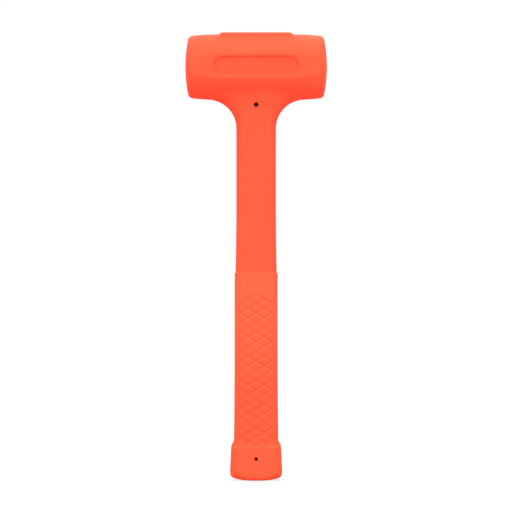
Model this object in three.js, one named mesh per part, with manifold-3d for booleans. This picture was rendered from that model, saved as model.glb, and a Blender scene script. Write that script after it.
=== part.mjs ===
// A dead blow mallet standing on its butt, millimetres, +Z up.
//
// The origin is the centre of the butt's flat end. +Z runs up the handle, the barrel of the head lies
// along X, and -Y is the front, the side with the two core-pin holes.
//
// A steel canister with a pressed cap in each end holds the steel shot. A round steel rod is coped to
// the underside of the canister and welded to it. Urethane is cast round both: the head, neck and shaft
// are one casting, and the textured grip with its flared butt is moulded over the lower end of the shaft.

import * as THREE from 'three';
import { mergeVertices } from 'three/addons/utils/BufferGeometryUtils.js';
import Module from 'manifold-3d';

const wasm = await Module();
wasm.setup();

// ---------------------------------------------------------------- driving dimensions

const GAP = 0.3; // clearance between two pieces that touch

// Head: a barrel along X with crowned striking faces.
const HEAD_Z = 281.6; // height of the barrel's axis
const BARREL_R = 22.2; // a 1-3/4 inch striking face
const BARREL_HALF = 48.3; // half the length of the head, over the crowns
const BARREL_STRAIGHT_HALF = 27.3; // half of the stretch with a constant radius
const BARREL_END_R = 131; // large arc that draws each end of the barrel in
const FACE_CROWN_R = 94; // radius of the crowned striking face
const FACE_CORNER_R = 2.3; // rounded corner between face and barrel
const FLAT_Y = 20.9; // distance of the front and back flats from the axis
const RECESS_LENGTH = 58; // plain badge recess in each flat, with round ends
const RECESS_HEIGHT = 13;
const RECESS_DEPTH = 1.4;
const PAD_TOP = 23.3; // top of the flat pad above the barrel's axis
const PAD_HALF_LENGTH = 24; // at its top
const PAD_HALF_DEPTH = 11; // at its top
const PAD_BEVEL = 1.3; // 45 degree bevel on each end of the pad
const PAD_SIDE_SLOPE = 0.17; // outward run of the pad's front and back for each millimetre down
const PAD_ROOT = 15; // the pad is sunk into the barrel down to this height above the axis

// Shaft and neck: flattened oval sections, half width along X and half depth along Y.
const SHAFT_HALF_WIDTH = 13.5;
const SHAFT_DEPTH_LOSS = 2.6; // the half depth is this much less than the half width
const SHAFT_SWELL = 0.55; // the shaft widens by this much towards the grip
const SHAFT_WAIST_Z = 188; // below this height it widens
const SECTION_POWER = 4; // superellipse power: flat faces with well rounded edges
const NECK_R = 19.5; // fillet between the shaft and the barrel, all the way round
const NECK_TOP_POWER = 2.3; // superellipse power where the neck meets the barrel
const NECK_TOP_Z = 272; // the neck ends inside the barrel
const NECK_PIN_R = 1.7; // holes left by the pins that held the steel core in the mould
const NECK_PIN_Z = 255.6;
const BUTT_PIN_R = 1.35;
const BUTT_PIN_Z = 14.9;

// Grip: a sleeve over a thinner stub of the shaft, closed by the butt.
const GRIP_TOP_Z = 141.4;
const GRIP_BEVEL = 0.5; // bevel round the sleeve's top edge
const GRIP_BEVEL_HEIGHT = 0.9;
const GRIP_HALF_WIDTH = 14.62;
const GRIP_SWELL = 0.5; // the sleeve widens by this much on its way down to the butt
const GRIP_DEPTH_RATIO = 0.83; // half depth over half width
const PALM_SWELL = 0.9; // extra half depth at the middle of the grip
const STUB_HALF_WIDTH = 11.2;
const STUB_HALF_DEPTH = 8.6;
const STUB_END_Z = 28.3;
const FLARE_TOP_Z = 26.8; // the grip turns out into the butt between these two heights
const FLARE_END_Z = 22.4;
const FLARE_POWER = 1.8; // above 1 it turns out sharply and then runs into the butt's side
const BUTT_TOP_HALF_WIDTH = 17.05;
const BUTT_HALF_WIDTH = 17.8; // at the butt's widest
const BUTT_WIDEST_Z = 6;
const BUTT_FLAT_HALF_WIDTH = 8.5; // the flat that the mallet stands on
const BUTT_ROUNDING = 2.6; // power of the curve from the flat out to the widest section

// Canister: steel tube, counterbored at each end for a pressed cap.
const CANISTER_R = 16;
const CANISTER_BORE_R = 13.5;
const CANISTER_HALF = 33;
const CAP_SEAT_R = 14.5;
const CAP_SEAT_X = 29; // the counterbore's shoulder
const CAP_DISH_R = 9;
const CAP_DISH_DEPTH = 1;
const CAP_CHAMFER = 0.6;

// Core rod and its weld.
const ROD_R = 4.75; // 3/8 inch bar
const ROD_END_Z = 8;
const ROD_CHAMFER = 1;
const ROD_GROOVES = 3; // turned grooves near the lower end, where the urethane keys in
const ROD_GROOVE_PITCH = 7;
const ROD_GROOVE_DEPTH = 0.9;
const ROD_FIRST_GROOVE_Z = 34;
const WELD_R = 8.6;
const WELD_END_Z = 258;
const WELD_SHOULDER_Z = 262.5;

// Shot: the loose charge as one slug, level on top and sloped at its ends like a settled heap.
const SHOT_HALF = 22; // half its length at the bottom; it slides until this meets a cap
const SHOT_TOP_HALF = 17;
const SHOT_TOP = 5; // height of its level top above the barrel's axis

const ROUND_SEGMENTS = 48; // facets round the barrel, and round the handle's sections
const BORE_SEGMENTS = 32; // facets round steel parts and cavities
const PIN_SEGMENTS = 16;

// ---------------------------------------------------------------- colours and finishes

function urethane(hex) {
  return new THREE.MeshStandardMaterial({ color: hex, roughness: 0.55, metalness: 0 });
}

function steel(hex, roughness) {
  return new THREE.MeshStandardMaterial({ color: hex, roughness, metalness: 1 });
}

// ---------------------------------------------------------------- solids

// Turns a three.js geometry into a manifold solid.
function solid(geometry) {
  const bare = geometry.clone();
  bare.deleteAttribute('normal');
  bare.deleteAttribute('uv');
  const merged = mergeVertices(bare, 1e-5);
  return new wasm.Manifold(new wasm.Mesh({
    numProp: 3,
    vertProperties: new Float32Array(merged.attributes.position.array),
    triVerts: new Uint32Array(merged.index.array),
  }));
}

// Turns a manifold solid back into a three.js geometry.
function geometryOf(manifold) {
  const mesh = manifold.getMesh();
  const geometry = new THREE.BufferGeometry();
  geometry.setAttribute('position', new THREE.Float32BufferAttribute(mesh.vertProperties, 3));
  geometry.setIndex(new THREE.Uint32BufferAttribute(mesh.triVerts, 1));
  geometry.computeVertexNormals();
  return geometry;
}

function point(x, y) {
  return new THREE.Vector2(x, y);
}

// A solid of revolution about Z. Each profile point is (radius, height).
function turnedZ(profile, segments) {
  const geometry = new THREE.LatheGeometry(profile, segments);
  geometry.rotateX(Math.PI / 2);
  return solid(geometry);
}

// A solid of revolution about the barrel's axis. Each profile point is (radius, x).
function turnedX(profile, segments) {
  const geometry = new THREE.LatheGeometry(profile, segments);
  geometry.rotateZ(-Math.PI / 2);
  geometry.translate(0, 0, HEAD_Z);
  return solid(geometry);
}

// A round bar along Z between two heights.
function barZ(radius, low, high, segments) {
  return turnedZ([point(0, low), point(radius, low), point(radius, high), point(0, high)], segments);
}

// A round bar on the barrel's axis.
function barX(radius, half, segments) {
  return turnedX([point(0, -half), point(radius, -half), point(radius, half), point(0, half)], segments);
}

// A through hole along Y, for the pair of core pins that met at the rod.
function pinHole(radius, height) {
  const geometry = new THREE.CylinderGeometry(radius, radius, 4 * SHAFT_HALF_WIDTH, PIN_SEGMENTS);
  geometry.translate(0, 0, height);
  return solid(geometry);
}

// One flattened oval section, as a ring of points at a height.
function section(halfWidth, halfDepth, height, power = SECTION_POWER) {
  const ring = [];
  for (let i = 0; i < ROUND_SEGMENTS; i += 1) {
    const angle = (2 * Math.PI * i) / ROUND_SEGMENTS;
    const across = Math.abs(Math.cos(angle) / halfWidth) ** power;
    const deep = Math.abs(Math.sin(angle) / halfDepth) ** power;
    const reach = (across + deep) ** (-1 / power);
    ring.push(new THREE.Vector3(reach * Math.cos(angle), reach * Math.sin(angle), height));
  }
  return ring;
}

// A closed solid through a stack of rings, lowest first, with a fan over each end.
function loft(rings) {
  const count = rings[0].length;
  const positions = [];
  const indices = [];
  for (const ring of rings) {
    for (const p of ring) {
      positions.push(p.x, p.y, p.z);
    }
  }
  for (let level = 0; level + 1 < rings.length; level += 1) {
    for (let i = 0; i < count; i += 1) {
      const a = level * count + i;
      const b = level * count + ((i + 1) % count);
      indices.push(a, b, b + count);
      indices.push(a, b + count, a + count);
    }
  }
  const bottom = positions.length / 3;
  const top = bottom + 1;
  const last = (rings.length - 1) * count;
  positions.push(0, 0, rings[0][0].z);
  positions.push(0, 0, rings[rings.length - 1][0].z);
  for (let i = 0; i < count; i += 1) {
    const next = (i + 1) % count;
    indices.push(bottom, next, i);
    indices.push(top, last + i, last + next);
  }
  const geometry = new THREE.BufferGeometry();
  geometry.setAttribute('position', new THREE.Float32BufferAttribute(positions, 3));
  geometry.setIndex(indices);
  return solid(geometry);
}

// ---------------------------------------------------------------- head, neck and shaft

// Radius of the barrel at a distance along it from the middle.
function barrelRadius(x) {
  const past = Math.max(0, Math.abs(x) - BARREL_STRAIGHT_HALF);
  return BARREL_R - (BARREL_END_R - Math.sqrt(BARREL_END_R ** 2 - past ** 2));
}

// Profile of one end of the barrel, from its straight stretch round the corner to the face's middle.
function barrelEnd() {
  const edgeRadius = BARREL_R - 1 - FACE_CORNER_R;
  const edgeX = BARREL_HALF - (FACE_CROWN_R - Math.sqrt(FACE_CROWN_R ** 2 - edgeRadius ** 2));
  const profile = [];
  const sideSteps = 4;
  const cornerX = edgeX - FACE_CORNER_R;
  for (let i = 0; i <= sideSteps; i += 1) {
    const x = BARREL_STRAIGHT_HALF + ((cornerX - BARREL_STRAIGHT_HALF) * i) / sideSteps;
    profile.push(point(barrelRadius(x), x));
  }
  const cornerSteps = 4;
  const cornerRise = barrelRadius(cornerX) - edgeRadius;
  for (let i = 1; i <= cornerSteps; i += 1) {
    const turn = (Math.PI / 2) * (i / cornerSteps);
    profile.push(point(edgeRadius + cornerRise * Math.cos(turn), cornerX + FACE_CORNER_R * Math.sin(turn)));
  }
  const faceSteps = 4;
  for (let i = 1; i <= faceSteps; i += 1) {
    const radius = edgeRadius * (1 - i / faceSteps);
    const x = BARREL_HALF - (FACE_CROWN_R - Math.sqrt(FACE_CROWN_R ** 2 - radius ** 2));
    profile.push(point(radius, x));
  }
  return profile;
}

function barrel() {
  const right = barrelEnd();
  const left = right.map((p) => point(p.x, -p.y)).reverse();
  const round = turnedX([...left, ...right], ROUND_SEGMENTS);
  const between = new THREE.BoxGeometry(3 * BARREL_HALF, 2 * FLAT_Y, 4 * BARREL_R);
  between.translate(0, 0, HEAD_Z);
  return round.intersect(solid(between));
}

// The flat pad on top: bevelled ends, and a front and back that lean in towards the top.
function topPad() {
  const outline = new THREE.Shape([
    point(-PAD_HALF_LENGTH - PAD_BEVEL, PAD_ROOT),
    point(PAD_HALF_LENGTH + PAD_BEVEL, PAD_ROOT),
    point(PAD_HALF_LENGTH + PAD_BEVEL, PAD_TOP - PAD_BEVEL),
    point(PAD_HALF_LENGTH, PAD_TOP),
    point(-PAD_HALF_LENGTH, PAD_TOP),
    point(-PAD_HALF_LENGTH - PAD_BEVEL, PAD_TOP - PAD_BEVEL),
  ]);
  const geometry = new THREE.ExtrudeGeometry(outline, { depth: 2, bevelEnabled: false });
  geometry.translate(0, 0, -1);
  geometry.rotateX(Math.PI / 2);
  const position = geometry.attributes.position;
  for (let i = 0; i < position.count; i += 1) {
    const halfDepth = PAD_HALF_DEPTH + PAD_SIDE_SLOPE * (PAD_TOP - position.getZ(i));
    position.setY(i, position.getY(i) * halfDepth);
  }
  geometry.translate(0, 0, HEAD_Z);
  return solid(geometry);
}

// The pocket of one badge recess: a bar with round ends, from its floor outwards.
function recess(side) {
  const radius = RECESS_HEIGHT / 2;
  const straight = RECESS_LENGTH / 2 - radius;
  const outline = new THREE.Shape();
  outline.absarc(straight, 0, radius, -Math.PI / 2, Math.PI / 2, false);
  outline.absarc(-straight, 0, radius, Math.PI / 2, (3 * Math.PI) / 2, false);
  outline.closePath();
  const geometry = new THREE.ExtrudeGeometry(outline, { depth: 5, bevelEnabled: false, curveSegments: 10 });
  geometry.rotateX(side * Math.PI / 2);
  geometry.translate(0, -side * (FLAT_Y - RECESS_DEPTH), HEAD_Z);
  return solid(geometry);
}

// Half width and half depth of the shaft below the neck.
function shaftSection(height) {
  const down = Math.max(0, SHAFT_WAIST_Z - height) / (SHAFT_WAIST_Z - GRIP_TOP_Z);
  const halfWidth = SHAFT_HALF_WIDTH + SHAFT_SWELL * down ** 2;
  return section(halfWidth, halfWidth - SHAFT_DEPTH_LOSS, height);
}

// How far a neck fillet has moved out at a height, when it starts from the shaft at startZ.
function filletReach(height, startZ) {
  const climb = Math.min(Math.max(height - startZ, 0), NECK_R);
  return NECK_R - Math.sqrt(NECK_R ** 2 - climb ** 2);
}

// Rings of the neck. Its fillet touches the barrel at the bottom, and higher up on the front and back.
function neckRings() {
  const halfDepth = SHAFT_HALF_WIDTH - SHAFT_DEPTH_LOSS;
  const centresApart = BARREL_R + NECK_R;
  const sideStartZ = HEAD_Z - centresApart;
  const faceDrop = Math.sqrt(centresApart ** 2 - (halfDepth + NECK_R) ** 2);
  const faceStartZ = HEAD_Z - faceDrop;
  const faceEndZ = HEAD_Z - (faceDrop * BARREL_R) / centresApart;
  const sideEndZ = HEAD_Z - BARREL_R;
  const heights = [];
  const sideSteps = 10;
  for (let i = 0; i < sideSteps; i += 1) {
    heights.push(sideStartZ + NECK_R * Math.sin((Math.PI / 2) * (i / sideSteps)));
  }
  const faceSteps = 5;
  for (let i = 0; i <= faceSteps; i += 1) {
    heights.push(sideEndZ + ((faceEndZ - sideEndZ) * i) / faceSteps);
  }
  heights.push(NECK_TOP_Z);
  return heights.map((height) => {
    const share = Math.min(1, (height - sideStartZ) / (faceEndZ - sideStartZ));
    const power = SECTION_POWER + (NECK_TOP_POWER - SECTION_POWER) * share;
    const width = SHAFT_HALF_WIDTH + filletReach(height, sideStartZ);
    const depth = halfDepth + filletReach(Math.min(height, faceEndZ), faceStartZ);
    return section(width, depth, height, power);
  });
}

// Stub, shaft and neck as one loft.
function handleCore() {
  const rings = [];
  const shoulderZ = GRIP_TOP_Z + GAP;
  rings.push(section(STUB_HALF_WIDTH, STUB_HALF_DEPTH, STUB_END_Z));
  rings.push(section(STUB_HALF_WIDTH, STUB_HALF_DEPTH, shoulderZ));
  for (const height of [shoulderZ, 150, 160, 172, SHAFT_WAIST_Z]) {
    rings.push(shaftSection(height));
  }
  return loft([...rings, ...neckRings()]);
}

// Everything inside the casting: canister, weld and rod, each with clearance.
function coreCavity() {
  const canister = barX(CANISTER_R + GAP, CANISTER_HALF + GAP, BORE_SEGMENTS);
  const rod = barZ(ROD_R + GAP, STUB_END_Z - 1, HEAD_Z, BORE_SEGMENTS);
  const weld = turnedZ([
    point(0, WELD_END_Z - GAP),
    point(ROD_R + 3 * GAP, WELD_END_Z - GAP),
    point(WELD_R + GAP, WELD_SHOULDER_Z - GAP),
    point(WELD_R + GAP, HEAD_Z),
    point(0, HEAD_Z),
  ], BORE_SEGMENTS);
  return canister.add(rod).add(weld);
}

function headCover() {
  const outside = barrel().add(topPad()).add(handleCore());
  const recessed = outside.subtract(recess(1)).subtract(recess(-1));
  return recessed.subtract(coreCavity()).subtract(pinHole(NECK_PIN_R, NECK_PIN_Z));
}

// ---------------------------------------------------------------- grip and butt

function gripHalfWidth(height) {
  const down = (GRIP_TOP_Z - height) / (GRIP_TOP_Z - FLARE_TOP_Z);
  return GRIP_HALF_WIDTH + GRIP_SWELL * down ** 3;
}

function gripHalfDepth(height) {
  const down = (GRIP_TOP_Z - height) / (GRIP_TOP_Z - FLARE_TOP_Z);
  return GRIP_DEPTH_RATIO * gripHalfWidth(height) + PALM_SWELL * Math.sin(Math.PI * down ** 0.8) ** 2;
}

function buttSection(halfWidth, height) {
  return section(halfWidth, GRIP_DEPTH_RATIO * halfWidth, height);
}

function gripSleeve() {
  const rings = [];
  const bottomSteps = 6;
  for (let i = 0; i < bottomSteps; i += 1) {
    const rise = (i / bottomSteps) ** 1.5;
    const grown = 1 - (1 - rise) ** BUTT_ROUNDING;
    const halfWidth = BUTT_FLAT_HALF_WIDTH + (BUTT_HALF_WIDTH - BUTT_FLAT_HALF_WIDTH) * grown;
    rings.push(buttSection(halfWidth, BUTT_WIDEST_Z * rise));
  }
  rings.push(buttSection(BUTT_HALF_WIDTH, BUTT_WIDEST_Z));
  const flareSteps = 6;
  const flareTopHalfWidth = gripHalfWidth(FLARE_TOP_Z);
  for (let i = 0; i < flareSteps; i += 1) {
    const up = i / flareSteps;
    const halfWidth = BUTT_TOP_HALF_WIDTH + (flareTopHalfWidth - BUTT_TOP_HALF_WIDTH) * up ** FLARE_POWER;
    rings.push(buttSection(halfWidth, FLARE_END_Z + (FLARE_TOP_Z - FLARE_END_Z) * up));
  }
  const bodySteps = 8;
  for (let i = 0; i <= bodySteps; i += 1) {
    const height = FLARE_TOP_Z + ((GRIP_TOP_Z - GRIP_BEVEL_HEIGHT - FLARE_TOP_Z) * i) / bodySteps;
    rings.push(section(gripHalfWidth(height), gripHalfDepth(height), height));
  }
  const topHalfDepth = gripHalfDepth(GRIP_TOP_Z) - GRIP_BEVEL;
  rings.push(section(GRIP_HALF_WIDTH - GRIP_BEVEL, topHalfDepth, GRIP_TOP_Z));
  const stubPocket = loft([
    section(STUB_HALF_WIDTH + GAP, STUB_HALF_DEPTH + GAP, STUB_END_Z - GAP),
    section(STUB_HALF_WIDTH + GAP, STUB_HALF_DEPTH + GAP, GRIP_TOP_Z + 1),
  ]);
  const rodPocket = barZ(ROD_R + GAP, ROD_END_Z - GAP, STUB_END_Z, BORE_SEGMENTS);
  return loft(rings).subtract(stubPocket).subtract(rodPocket).subtract(pinHole(BUTT_PIN_R, BUTT_PIN_Z));
}

// ---------------------------------------------------------------- steel core

function canisterTube() {
  return turnedX([
    point(CAP_SEAT_R, -CANISTER_HALF),
    point(CANISTER_R, -CANISTER_HALF),
    point(CANISTER_R, CANISTER_HALF),
    point(CAP_SEAT_R, CANISTER_HALF),
    point(CAP_SEAT_R, CAP_SEAT_X),
    point(CANISTER_BORE_R, CAP_SEAT_X),
    point(CANISTER_BORE_R, -CAP_SEAT_X),
    point(CAP_SEAT_R, -CAP_SEAT_X),
    point(CAP_SEAT_R, -CANISTER_HALF),
  ], BORE_SEGMENTS);
}

// A pressed cap, dished on its outer face. side is 1 for the right-hand end and -1 for the left.
function canisterCap(side) {
  const radius = CAP_SEAT_R - GAP;
  const inner = CAP_SEAT_X + GAP;
  const profile = [
    point(0, inner),
    point(radius, inner),
    point(radius, CANISTER_HALF - CAP_CHAMFER),
    point(radius - CAP_CHAMFER, CANISTER_HALF),
    point(CAP_DISH_R + CAP_DISH_DEPTH, CANISTER_HALF),
    point(CAP_DISH_R, CANISTER_HALF - CAP_DISH_DEPTH),
    point(0, CANISTER_HALF - CAP_DISH_DEPTH),
  ];
  if (side > 0) {
    return turnedX(profile, BORE_SEGMENTS);
  }
  return turnedX(profile.map((p) => point(p.x, -p.y)).reverse(), BORE_SEGMENTS);
}

// The canister's outside with clearance, which copes the rod and the weld.
function copingCutter() {
  return barX(CANISTER_R + GAP, CANISTER_HALF, BORE_SEGMENTS);
}

function handleRod() {
  const profile = [point(0, ROD_END_Z), point(ROD_R - ROD_CHAMFER, ROD_END_Z)];
  profile.push(point(ROD_R, ROD_END_Z + ROD_CHAMFER));
  for (let i = 0; i < ROD_GROOVES; i += 1) {
    const middle = ROD_FIRST_GROOVE_Z + i * ROD_GROOVE_PITCH;
    profile.push(point(ROD_R, middle - 2 * ROD_GROOVE_DEPTH));
    profile.push(point(ROD_R - ROD_GROOVE_DEPTH, middle - ROD_GROOVE_DEPTH));
    profile.push(point(ROD_R - ROD_GROOVE_DEPTH, middle + ROD_GROOVE_DEPTH));
    profile.push(point(ROD_R, middle + 2 * ROD_GROOVE_DEPTH));
  }
  const top = HEAD_Z - CANISTER_R + 2;
  profile.push(point(ROD_R, top), point(0, top));
  return turnedZ(profile, BORE_SEGMENTS).subtract(copingCutter());
}

function rodWeld() {
  const top = HEAD_Z - CANISTER_R + 3;
  const inner = ROD_R + GAP;
  return turnedZ([
    point(inner, WELD_END_Z),
    point(inner + GAP, WELD_END_Z),
    point(WELD_R, WELD_SHOULDER_Z),
    point(WELD_R, top),
    point(inner, top),
    point(inner, WELD_END_Z),
  ], BORE_SEGMENTS).subtract(copingCutter());
}

// ---------------------------------------------------------------- shot

function shotCharge() {
  const round = barX(CANISTER_BORE_R - GAP, SHOT_HALF, BORE_SEGMENTS);
  const outline = new THREE.Shape([
    point(-SHOT_HALF, -CANISTER_BORE_R),
    point(SHOT_HALF, -CANISTER_BORE_R),
    point(SHOT_TOP_HALF, SHOT_TOP),
    point(-SHOT_TOP_HALF, SHOT_TOP),
  ]);
  const depth = 4 * CANISTER_BORE_R;
  const geometry = new THREE.ExtrudeGeometry(outline, { depth, bevelEnabled: false });
  geometry.translate(0, 0, -depth / 2);
  geometry.rotateX(Math.PI / 2);
  geometry.translate(0, 0, HEAD_Z);
  return round.intersect(solid(geometry));
}

// ---------------------------------------------------------------- assembly

const ORANGE = urethane(0xfe6543);
const ORANGE_GRIP = urethane(0xfd6a48);
const TUBE_STEEL = steel(0x8f9296, 0.4);
const CAP_STEEL = steel(0xa6a8ab, 0.35);
const BAR_STEEL = steel(0x7c7f84, 0.45);
const WELD_STEEL = steel(0x6a6560, 0.6);
const SHOT_STEEL = steel(0xb4b6b9, 0.3);

const mallet = new THREE.Group();

function place(name, manifold, material) {
  const mesh = new THREE.Mesh(geometryOf(manifold), material);
  mesh.name = name;
  mallet.add(mesh);
}

place('head_cover', headCover(), ORANGE);
place('grip_sleeve', gripSleeve(), ORANGE_GRIP);
place('canister_tube', canisterTube(), TUBE_STEEL);
place('canister_cap_left', canisterCap(-1), CAP_STEEL);
place('canister_cap_right', canisterCap(1), CAP_STEEL);
place('handle_rod', handleRod(), BAR_STEEL);
place('rod_weld', rodWeld(), WELD_STEEL);
place('shot_charge', shotCharge(), SHOT_STEEL);

export default mallet;
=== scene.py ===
"""Looks for the dead blow mallet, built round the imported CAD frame.

Work is done in millimetres and turned into metres when a mesh is made. The frame is upright: +Z up the
handle, the barrel of the head along X, and -Y the front. Places and sizes come from the frame's boxes.

Visible pieces: the urethane head, neck and shaft as one implicit surface, and the textured grip with its
butt as one grid of rings. Inside them are the steel canister, its caps, the core rod, its weld and the shot.
"""

import math

import bmesh
import bpy
import numpy as np
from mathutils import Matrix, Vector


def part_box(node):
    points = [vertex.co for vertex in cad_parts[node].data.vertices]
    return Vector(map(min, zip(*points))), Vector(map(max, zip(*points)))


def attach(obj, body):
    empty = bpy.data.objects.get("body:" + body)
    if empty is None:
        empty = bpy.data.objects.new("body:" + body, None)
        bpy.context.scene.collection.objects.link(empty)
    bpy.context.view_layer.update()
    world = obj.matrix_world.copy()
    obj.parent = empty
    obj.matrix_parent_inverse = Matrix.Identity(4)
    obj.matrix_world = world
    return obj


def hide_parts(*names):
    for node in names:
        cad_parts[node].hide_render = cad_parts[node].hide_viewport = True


MM = 0.001

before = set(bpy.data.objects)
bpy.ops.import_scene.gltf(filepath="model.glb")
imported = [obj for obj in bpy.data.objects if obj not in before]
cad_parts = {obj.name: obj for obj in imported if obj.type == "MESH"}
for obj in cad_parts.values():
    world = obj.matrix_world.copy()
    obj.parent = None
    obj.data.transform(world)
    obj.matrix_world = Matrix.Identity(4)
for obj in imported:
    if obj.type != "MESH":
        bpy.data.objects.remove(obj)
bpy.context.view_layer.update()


def node_box(name):
    """Lowest and highest corner of a CAD node, in millimetres."""
    low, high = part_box(name)
    return np.array(low) / MM, np.array(high) / MM


# ---------------------------------------------------------------- sizes, from the frame

HEAD_LOW, HEAD_HIGH = node_box("head_cover")
_, GRIP_HIGH = node_box("grip_sleeve")
TUBE_LOW, TUBE_HIGH = node_box("canister_tube")
CAP_LOW, CAP_HIGH = node_box("canister_cap_right")
ROD_LOW, ROD_HIGH = node_box("handle_rod")
WELD_LOW, WELD_HIGH = node_box("rod_weld")
_, SHOT_HIGH = node_box("shot_charge")

HEAD_Z = (TUBE_LOW[2] + TUBE_HIGH[2]) / 2  # height of the barrel's axis
BARREL_HALF = HEAD_HIGH[0]
FLAT_Y = HEAD_HIGH[1]  # front and back flats
PAD_TOP = HEAD_HIGH[2] - HEAD_Z
GRIP_TOP = GRIP_HIGH[2]
STUB_END = HEAD_LOW[2]
BUTT_HALF_WIDTH = GRIP_HIGH[0]
BUTT_HALF_DEPTH = GRIP_HIGH[1]
CANISTER_R = TUBE_HIGH[2] - HEAD_Z
CANISTER_HALF = TUBE_HIGH[0]
CAP_R = CAP_HIGH[1]
CAP_INNER_X = CAP_LOW[0]
ROD_R = ROD_HIGH[0]
ROD_END = ROD_LOW[2]
WELD_R = WELD_HIGH[0]
WELD_END = WELD_LOW[2]
SHOT_GAP = 0.3  # the shot keeps this far off the bore
BORE_R = SHOT_HIGH[1] + SHOT_GAP
SHOT_HALF = SHOT_HIGH[0]

# Head shape
BARREL_R = 22.35
BARREL_STRAIGHT_HALF = 27.3
BARREL_END_R = 131.0
FACE_CROWN_R = 94.0
FACE_CORNER_R = 2.3
FLAT_SOFTNESS = 0.5
RECESS_HALF_LENGTH = 29.0
RECESS_HALF_HEIGHT = 6.45  # at half its depth
RECESS_DEPTH = 1.4
RECESS_DRAFT = math.radians(42)
RECESS_EDGE_R = 0.3
PAD_HALF_LENGTH = 23.6
PAD_HALF_DEPTH = 11.0
PAD_SIDE_SLOPE = 0.17
PAD_BEVEL = 1.3
PAD_EDGE_R = 0.9
PAD_ROOT_R = 0.6
PAD_SIDE_ROOT_R = 3.0
PAD_ROOT_BLEND = 2.0  # the root's radius grows to the side one over this last stretch
PAD_FOOT = 12.0  # the pad is sunk into the barrel down to this height above the axis

# Handle shape
SHAFT_HALF_WIDTH = 13.5
SHAFT_DEPTH_LOSS = 2.6
SHAFT_SWELL = 0.55
SHAFT_SWELL_STOP = 1.1  # the swell stops growing this many waist-to-grip lengths below the waist
SHAFT_WAIST_Z = 188.0
SHAFT_SHOULDER_R = 0.3
SECTION_POWER = 4  # superellipse power of the handle's section
HANDLE_SINK = 4.0  # the handle ends inside the barrel, this far below its axis
NECK_R = 19.5
NECK_REACH = SHAFT_HALF_WIDTH + NECK_R + 1  # the neck's fillet ends inside this distance from the middle
NECK_PIN_R = 1.7
NECK_PIN_Z = 255.6
BUTT_PIN_R = 1.35
BUTT_PIN_Z = 14.9
PIN_LIP_R = 0.25
STUB_HALF_WIDTH = 11.2  # the shaft's lower end, inside the grip
STUB_HALF_DEPTH = 8.6
STUB_END_R = 0.6
WELD_SHOULDER = 4.5  # the room for the weld narrows below this height above its foot
WELD_TAPER = 0.7  # and by this much for each millimetre down
WELD_TAPER_SCALE = 0.8  # brings the narrowed wall's field back to a distance
FIT = 0.08  # clearance between pieces that touch

# Grip shape
GRIP_HALF_WIDTH = 14.62
GRIP_SWELL = 0.5
GRIP_DEPTH_RATIO = 0.83  # half depth over half width
PALM_SWELL = 0.9  # extra half depth at the middle of the grip
GRIP_BEVEL = 0.5
GRIP_BEVEL_HEIGHT = 0.9
GRIP_LIP = 0.13  # the edge below the bevel stands this much prouder than the rest
GRIP_LIP_REACH = 1.6
SHAFT_SEAT = 0.9  # how far the shaft's shoulder is let into the grip
FLARE_TOP = 26.8  # the sides turn out into the butt between these heights
FLARE_END = 22.4
FLARE_POWER = 1.8
LEDGE_TOP = 24.5  # and the front and back between these
LEDGE_END = 22.1
BUTT_TOP_HALF_WIDTH = 17.05
BUTT_WIDEST = 6.0
BUTT_CORNER_R = 2.8
BUTT_CORNER_DEPTH = 1.0  # the corner is tighter on the front and back
BUTT_TUCK = 0.25  # the sides draw in by this much from the widest height to the corner
BUTT_FLAT_HALF = 9.0
BUTT_CROWN_R = 55.0
FACE_SHARE = 0.9  # the outline's front and back faces reach this share of its half width
FACE_COLUMNS = 67
SIDE_COLUMNS = 25
PIN_SIDES = 40
BUTT_RINGS = 8  # on the underside, and as many round its corner

# Diamond texture on the grip
DIAMOND_HALF_WIDTH = 5.5
DIAMOND_HALF_HEIGHT = 3.254
FIELD_APEX = 126.9  # height of the field's pointed top
FIELD_HALF_WIDTH = 12.2
FIELD_ROWS = 31
GROOVE_DEPTH = 0.56
GROOVE_HALF_WIDTH = 1.18
PILLOW = 0.1  # how far each diamond falls from its middle to its edges
SEAM_HALF_WIDTH = 0.22  # parting line in the side plane

# Steel core
TURNED_SEGMENTS = 96
TUBE_BEVEL = 0.4
SEAT_GAP = 0.2  # the counterbore goes this much deeper than the cap's inner face
CAP_BEVEL = 0.3
CAP_RIM_R = 0.7
CAP_DISH_SHARE = 0.7  # the dish's radius over the cap's
CAP_DISH_R = 0.8  # rounded edge of the dish
CAP_DISH_DEPTH = 1.0
ROD_SEGMENTS = 72
ROD_CHAMFER = 1.0
KEY_COUNT = 3  # keying grooves turned in the rod near its foot
KEY_FIRST_Z = 34
KEY_PITCH = 7
KEY_DEPTH = 0.9
KEY_HALF_WIDTH = 1.8
WELD_SEGMENTS = 144
WELD_INSET = 0.3  # the bead stays this far inside the room left for it
WELD_SAG = 0.9
WELD_RIPPLES = 18
WELD_RIPPLE_HEIGHT = 0.12
WELD_WAVE = 0.3  # the bead's foot wanders up and down by this much

# Loose shot
BALL_R = 1.75
BALL_COUNT = 400
BALL_GAP = 0.15  # between the balls and the bore
HEAP_SLOPE = 0.175  # the heap's ends lean in by this much for each millimetre up
SETTLE_STEPS = 320
FALL_STEPS = 220  # the balls sink for these first steps and are then only pushed apart
FALL_STEP = 0.05

# Studio, in metres and in degrees above the horizon
SKY_RISE_ANGLES = (16, 39)
SKY_RISE_LEVELS = (1.0, 4.0)
SKY_FALL_ANGLES = (45, 90)
SKY_FALL_LEVELS = (1.0, 0.7)
PANEL_WATTS = 74
FLOOR_HALF = 6.0
FLOOR_GLOW = 0.735
CAMERA_PLACE = (-0.0001, -3.0, 0.1528)
CAMERA_LENS = 309.3  # millimetres, on a sensor 36 wide

FAR = 99.0  # a distance that never counts, in millimetres


# ---------------------------------------------------------------- distance fields

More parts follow.
